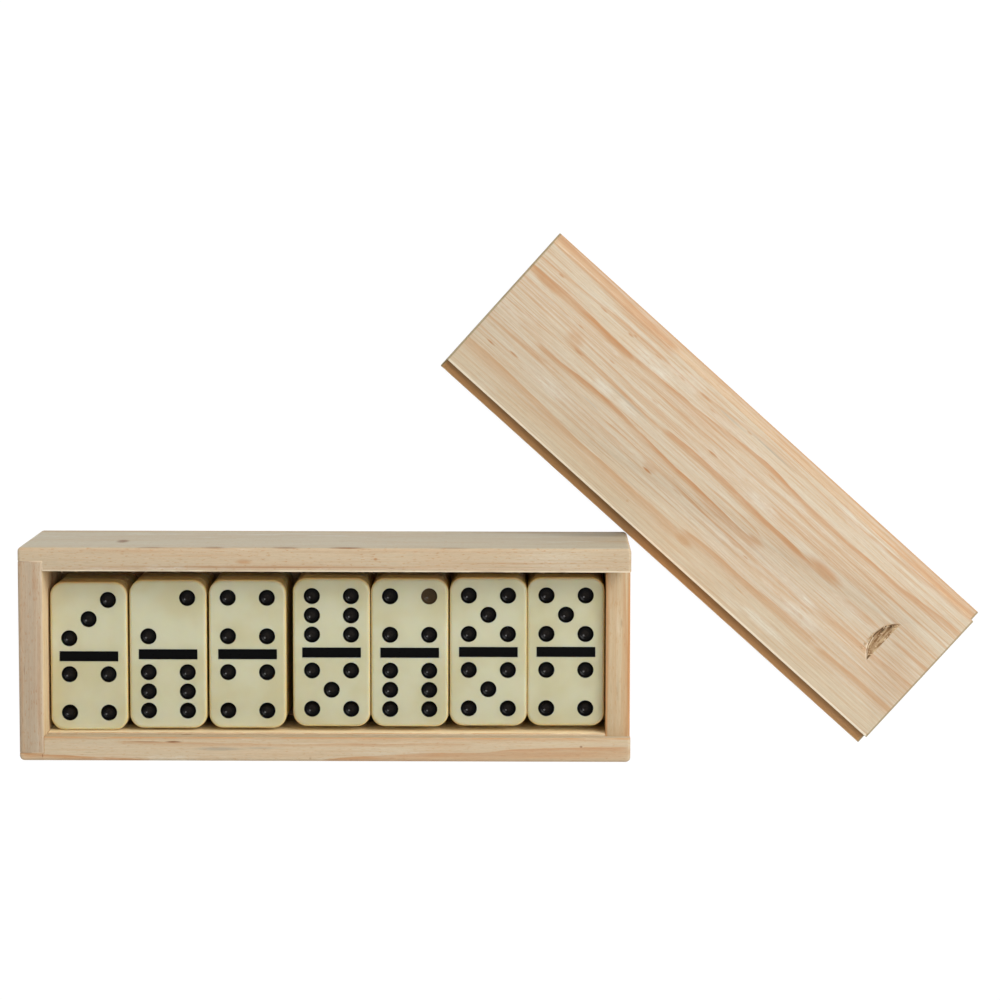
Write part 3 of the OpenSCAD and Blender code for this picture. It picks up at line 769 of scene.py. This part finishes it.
def fibreTree():
    # tapered slivers scattered over the patches that come in
    tree = bpy.data.node_groups.new("tornFibres", "GeometryNodeTree")
    newSockets(tree, {"Patches": "Geometry", "density": "Float", "length": "Float", "thickness": "Float",
                      "spread": "Float", "aim": "Vector", "seed": "Int", "wood": "Material"}, "INPUT")
    newSockets(tree, {"Fibres": "Geometry"}, "OUTPUT")
    given = addNode(tree, "NodeGroupInput").outputs
    scatter = {"Mesh": given["Patches"], "Density": given["density"], "Seed": given["seed"]}
    points = addNode(tree, "GeometryNodeDistributePointsOnFaces", scatter).outputs["Points"]
    cone = {"Vertices": sliver["sides"], "Radius Top": sliver["tip"], "Radius Bottom": sliver["root"],
            "Depth": 1.0}
    shape = addNode(tree, "GeometryNodeMeshCone", cone).outputs["Mesh"]

    def random(low, high, offset):
        # the node's first sockets are for vectors, its next ones for numbers
        seed = calc("ADD", given["seed"], float(offset))
        kind, first, output = ("FLOAT_VECTOR", 0, 0) if isinstance(low, tuple) else ("FLOAT", 2, 1)
        node = addNode(tree, "FunctionNodeRandomValue", data_type=kind)
        return fill(node, {first: low, first + 1: high, 8: seed}).outputs[output]

    jitter = random(tuple(-most for most in sliver["jitter"]), sliver["jitter"], 1)
    jitter = vectorCalc("MULTIPLY", jitter, given["spread"])[0]
    aim = vectorCalc("ADD", given["aim"], jitter)[0]
    turn = addNode(tree, "FunctionNodeAlignRotationToVector", {"Vector": aim}, axis="Z").outputs[0]
    longer = random(*sliver["long"], 2)
    thick = product(given["thickness"], random(*sliver["thick"], 3))
    scale = vector(thick, product(thick, sliver["flat"]), product(given["length"], longer))
    grown = {"Points": points, "Instance": shape, "Rotation": turn, "Scale": scale}
    grown = addNode(tree, "GeometryNodeInstanceOnPoints", grown).outputs[0]
    outputMesh(tree, grown, given["wood"], "Fibres")
    return tree


def fibreMaterial():
    material, tree, shader = newMaterial("torn pine")
    spot = inMillimetres(tree)
    tone = noise(spot, *sliver["tone"])
    shade = blendColours(between(tone, *sliver["step"]), sliver["dark"], sliver["pale"])
    rough = between(tone, *sliver["roughness"])
    finishShader(tree, shader, shade, rough, noise(spot, sliver["grit"]), sliver["relief"])
    return material


def evaluated(base, tree, values):
    # the tree's result on the base mesh as one plain mesh, its modifier gone again
    carrier = addObject(base.name, base)
    modifier = carrier.modifiers.new("grow", "NODES")
    modifier.node_group = tree
    for item in tree.interface.items_tree:
        if item.name in values:
            modifier[item.identifier] = values[item.name]
    done = carrier.evaluated_get(bpy.context.evaluated_depsgraph_get())
    mesh = bpy.data.meshes.new_from_object(done)
    bpy.data.objects.remove(carrier)
    return mesh


def growFibres(name, look, tree, wood):
    board = boards[look["board"]]
    turn = Matrix.Rotation(-math.radians(board["turn"]), 3, "Z")
    corners = [turn @ (Vector(c) * mm) + Vector(board["middle"]) for patch in look["patches"] for c in patch]
    base = bpy.data.meshes.new(name + "_patches")
    base.from_pydata(corners, [], [tuple(range(i, i + 4)) for i in range(0, len(corners), 4)])
    mesh = evaluated(base, tree, {
        "density": look["density"] / mm / mm, "length": look["length"] * mm,
        "thickness": look["thickness"] * mm, "spread": look["spread"],
        "aim": tuple(turn @ Vector(look["aim"])), "seed": look["seed"], "wood": wood})
    mesh.name = name
    place(name, mesh, look["body"], look["slot"])
    return len(mesh.polygons)


tornPine = fibreMaterial()
tree = fibreTree()
print("torn fibres grown:", [growFibres(name, look, tree, tornPine) for name, look in fibres.items()])

ivory = {
    "base": colour(206, 204, 174), "warm": colour(199, 193, 156), "deep": colour(186, 180, 144),
    "side": colour(228, 204, 144), "sideGlowStep": (0.95, 0.45, 0.0, 0.95),  # deeper where it faces sideways: partly yellower resin, partly painted glow of light through its edges
    "cloud": ((0.05, 0.05, 0.05), 3.0, 0.55), "cloudStep": (0.35, 0.65),
    "fleck": ((0.5, 0.5, 0.5), 2.0, 0.5), "fleckStep": (0.5, 0.8, 0.0, 0.015),
    "scuff": ((1.6, 0.5, 0.5), 3.0, 0.6), "relief": (0.012, 0.03, 0.42),
    "roughness": (0.3, 0.7, 0.28, 0.31),
    "inside": {"Subsurface Weight": 0.6, "Subsurface Radius": (1.0, 0.7, 0.35), "Subsurface Scale": 0.0022},
}


def ivoryMaterial():
    material, tree, shader = newMaterial("ivory resin")
    spot = inMillimetres(tree)
    cloud = noise(spot, *ivory["cloud"])
    shade = blendColours(between(cloud, *ivory["cloudStep"]), ivory["base"], ivory["warm"])
    fleck = noise(spot, *ivory["fleck"])
    shade = blendColours(between(fleck, *ivory["fleckStep"]), shade, ivory["deep"])
    normal = addNode(tree, "ShaderNodeTexCoord").outputs["Normal"]
    up = calc("ABSOLUTE", parts(normal)[2])
    # sideways faces deeper yellow: partly the resin's own, partly painted glow of light through its edges
    shade = blendColours(between(up, *ivory["sideGlowStep"]), shade, ivory["side"])
    rough = between(cloud, *ivory["roughness"])
    finishShader(tree, shader, shade, rough, noise(spot, *ivory["scuff"]), ivory["relief"])
    fill(shader, ivory["inside"])
    return material


# The paint in pips and bar, by the sizes of the recesses, in millimetres: from the middle of a pip to
# the long side, the end and the bar's middle, and from the bar's end to the long side.
paint = {
    "pipDiameter": 5.1, "floorDiameter": 3.9, "wallDepth": 0.8, "dish": 0.4,
    "pipSide": 6.0, "pipEnd": 5.6, "pipBar": 5.7,
    "barSide": 2.9, "barWidth": 3.2, "barDepth": 0.6,
    "film": 0.05, "under": 0.4,  # its thickness, and what part of that goes into the recess
    "weld": 0.001, "rim": 0.4,  # how near two points join, and how far out a tray's rim begins
    "round": 32, "floorRows": 6, "wallRows": 2, "thinning": 6.0,  # the cup's grid, and how its rim thins
    # the lighter tone in the pips' floors is partly worn paint and partly painted highlight
    "black": colour(5, 5, 5), "wearAndPaintedLight": colour(35, 31, 28), "brown": colour(66, 52, 34),
    "faded": ("domino_4_6", 0, (1, 2)),  # domino, half, side and step of the pip whose paint has gone brown
    "grit": ((1.4, 1.4, 1.4), 4.0, 0.6), "gone": (0.25, 0.6, 0.7, 1.1), "rubbedAndSheen": (0.3, 0.6, 0.6, 1.0),
    "floorWearAndSheen": (0.15, 0.7), "floorSmooth": (0.15, 0.45, 0.26, 0.08), "rough": 0.04,
    "relief": (0.15, 0.03, 0.13),
}
filmSizes = ["pipDiameter", "floorDiameter", "wallDepth", "dish", "barWidth", "barDepth", "film"]


def paintMaterial():
    material, tree, shader = newMaterial("black paint")
    grit = noise(inMillimetres(tree), *paint["grit"])
    gone = calc("MULTIPLY", attribute(tree, "wear"), between(grit, *paint["gone"]), clamp=True)
    floor = attribute(tree, "floor")
    # the floor's middle lighter: partly worn paint, partly painted highlight
    rubbedAndSheen = product(between(floor, *paint["floorWearAndSheen"]), between(grit, *paint["rubbedAndSheen"]))
    shade = blendColours(gone, blendColours(rubbedAndSheen, paint["black"], paint["wearAndPaintedLight"]), paint["brown"])
    rough = total(between(floor, *paint["floorSmooth"]), product(grit, paint["rough"]))
    finishShader(tree, shader, shade, rough, grit, paint["relief"])
    return material


def pipSpots(value):
    # side and step out from the bar, by the rule that every domino set follows
    spots = [(0, 1)] if value % 2 else []
    spots += [(1, 2), (-1, 0)] if value >= 2 else []
    spots += [(-1, 2), (1, 0)] if value >= 4 else []
    return spots + ([(-1, 1), (1, 1)] if value == 6 else [])


def closedFilm(tree, shape, points):
    # the skin that shows and the one that lies in the recess make a closed film
    top, under = (addNode(tree, "GeometryNodeSetPosition", {"Geometry": shape, "Position": where}).outputs[0]
                  for where in points)
    both = addNode(tree, "GeometryNodeJoinGeometry")
    tree.links.new(top, both.inputs[0])
    tree.links.new(addNode(tree, "GeometryNodeFlipFaces", {"Mesh": under}).outputs[0], both.inputs[0])
    joined = {"Geometry": both.outputs[0], "Distance": paint["weld"] * mm}
    return addNode(tree, "GeometryNodeMergeByDistance", joined).outputs[0]


def unitGrid(tree, countX, countY):
    return addNode(tree, "GeometryNodeMeshGrid", {"Size X": 1.0, "Size Y": 1.0, "Vertices X": countX,
                                                  "Vertices Y": countY}).outputs[0]


def cupShape(tree, given, position):
    # a flat grid rolled round its middle: its inner rows are the dished floor, its last ones the wall
    floorRows, wallRows = paint["floorRows"], paint["wallRows"]
    rows = floorRows + wallRows
    angle = product(total(position[0], 0.5), -2 * math.pi)
    row = product(total(position[1], 0.5), float(rows))
    onFloor = calc("DIVIDE", row, float(floorRows), clamp=True)
    onWall = calc("MULTIPLY", minus(row, float(floorRows)), 1 / wallRows, clamp=True)
    marked = {"Geometry": unitGrid(tree, paint["round"] + 1, rows + 1), "Name": "floor",
              "Value": minus(1.0, onFloor)}
    kind = {"data_type": "FLOAT", "domain": "POINT"}
    sheet = addNode(tree, "GeometryNodeStoreNamedAttribute", marked, **kind).outputs[0]
    floor, half = (product(given[name], 0.5) for name in ("floorDiameter", "pipDiameter"))
    dish = given["dish"]
    flat = product(floor, onFloor)
    radius = total(flat, product(minus(half, floor), onWall))
    sphere = calc("DIVIDE", total(product(floor, floor), product(dish, dish)),
                  product(dish, 2.0))
    reach = calc("SQRT", minus(product(sphere, sphere), product(flat, flat)))
    dished = minus(reach, minus(sphere, dish))
    height = minus(product(given["wallDepth"], minus(onWall, 1.0)), dished)

    def skin(raised):
        # raised off the recess by that part of the film, nothing at its rim
        off = product(given["film"], raised,
                      minus(1.0, calc("POWER", onWall, paint["thinning"])))
        out = minus(radius, product(off, onFloor))
        return vector(product(out, calc("COSINE", angle)),
                      product(out, calc("SINE", angle)), total(height, off))

    return closedFilm(tree, sheet, (skin(1.0), skin(-paint["under"])))


def trayShape(tree, given, position):
    # a grid of four by four points whose rim stays up and whose middle goes down
    far = largest(calc("ABSOLUTE", position[0]), calc("ABSOLUTE", position[1]))
    low = minus(1.0, calc("GREATER_THAN", far, paint["rim"]))

    def skin(shrink, depth):
        across = [product(calc("SIGN", position[axis]),
                          minus(product(given[size], 0.5), product(shrink, low)))
                  for axis, size in enumerate(("barLength", "barWidth"))]
        return vector(*across, product(depth, -1.0, low))

    film, depth = given["film"], given["barDepth"]
    under = product(film, paint["under"])
    seen, hidden = skin(film, minus(depth, film)), skin(product(film, -paint["under"]), total(depth, under))
    return closedFilm(tree, unitGrid(tree, 4, 4), (seen, hidden))


def paintTree():
    # a painted cup on every pip point and a painted tray on the bar's point
    tree = bpy.data.node_groups.new("paintFilm", "GeometryNodeTree")
    sizes = dict.fromkeys(filmSizes + ["barLength"], "Float")
    newSockets(tree, {"Points": "Geometry", **sizes, "black": "Material"}, "INPUT")
    newSockets(tree, {"Paint": "Geometry"}, "OUTPUT")
    given = addNode(tree, "NodeGroupInput").outputs
    position = parts(addNode(tree, "GeometryNodeInputPosition").outputs[0])
    isBar = addNode(tree, "GeometryNodeInputNamedAttribute", {"Name": "isBar"}, data_type="FLOAT").outputs[0]
    both = addNode(tree, "GeometryNodeJoinGeometry")
    for shape, test in ((cupShape, "LESS_THAN"), (trayShape, "GREATER_THAN")):
        on = {"Points": given["Points"], "Selection": calc(test, isBar, 0.5),
              "Instance": shape(tree, given, position)}
        tree.links.new(addNode(tree, "GeometryNodeInstanceOnPoints", on).outputs[0], both.inputs[0])
    outputMesh(tree, both.outputs[0], given["black"], "Paint")
    return tree


def paintPoints(node, halves):
    # one point on the domino's top face for the bar and one for each pip
    low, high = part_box(node)
    middle, top = (low + high) / 2, high.z
    side = (high.x - low.x) / 2 - paint["pipSide"] * mm
    step = ((high.y - low.y) / 2 - (paint["pipEnd"] + paint["pipBar"]) * mm) / 2
    points, wear = [(middle.x, middle.y, top)], [0.0]
    for half, value in enumerate(halves):
        way = -1 if half else 1
        for across, out in pipSpots(value):
            up = way * (paint["pipBar"] * mm + out * step)
            points.append((middle.x + way * across * side, middle.y + up, top))
            wear.append(1.0 if paint["faded"] == (node, half, (across, out)) else 0.0)
    return points, wear


def paintedFilm(node, halves, tree, black):
    points, wear = paintPoints(node, halves)
    base = bpy.data.meshes.new(node + "_points")
    base.from_pydata(points, [], [])
    for name, values in (("isBar", [1.0] + [0.0] * (len(points) - 1)), ("wear", wear)):
        base.attributes.new(name, "FLOAT", "POINT").data.foreach_set("value", values)
    low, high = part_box(node)
    values = {name: paint[name] * mm for name in filmSizes}
    values.update({"barLength": high.x - low.x - 2 * paint["barSide"] * mm, "black": black})
    mesh = evaluated(base, tree, values)
    mesh.name = node + "_paint"
    for polygon in mesh.polygons:
        polygon.use_smooth = True
    mesh.set_sharp_from_angle(angle=math.radians(sharpAngle))
    return mesh


# which half of each domino lies toward the back wall, top layer first
layers = [
    [(3, 4), (2, 6), (4, 4), (6, 5), (4, 6), (5, 5), (5, 4)],
    [(1, 3), (6, 6), (0, 2), (2, 5), (1, 1), (3, 6), (0, 4)],
    [(2, 2), (0, 5), (3, 3), (1, 6), (2, 4), (0, 0), (3, 5)],
    [(0, 6), (1, 4), (2, 3), (0, 1), (1, 5), (0, 3), (1, 2)],
]
resin = ivoryMaterial()
black = paintMaterial()
tree = paintTree()
dominoes = [halves for layer in layers for halves in layer]
for halves in dominoes:
    node = "domino_%d_%d" % (min(halves), max(halves))
    piece = nodes[node]
    piece.data.materials.clear()
    piece.data.materials.append(resin)
    place(node + "_paint", paintedFilm(node, halves, tree, black), node, "ivory_resin")
print("dominoes painted:", len(dominoes))
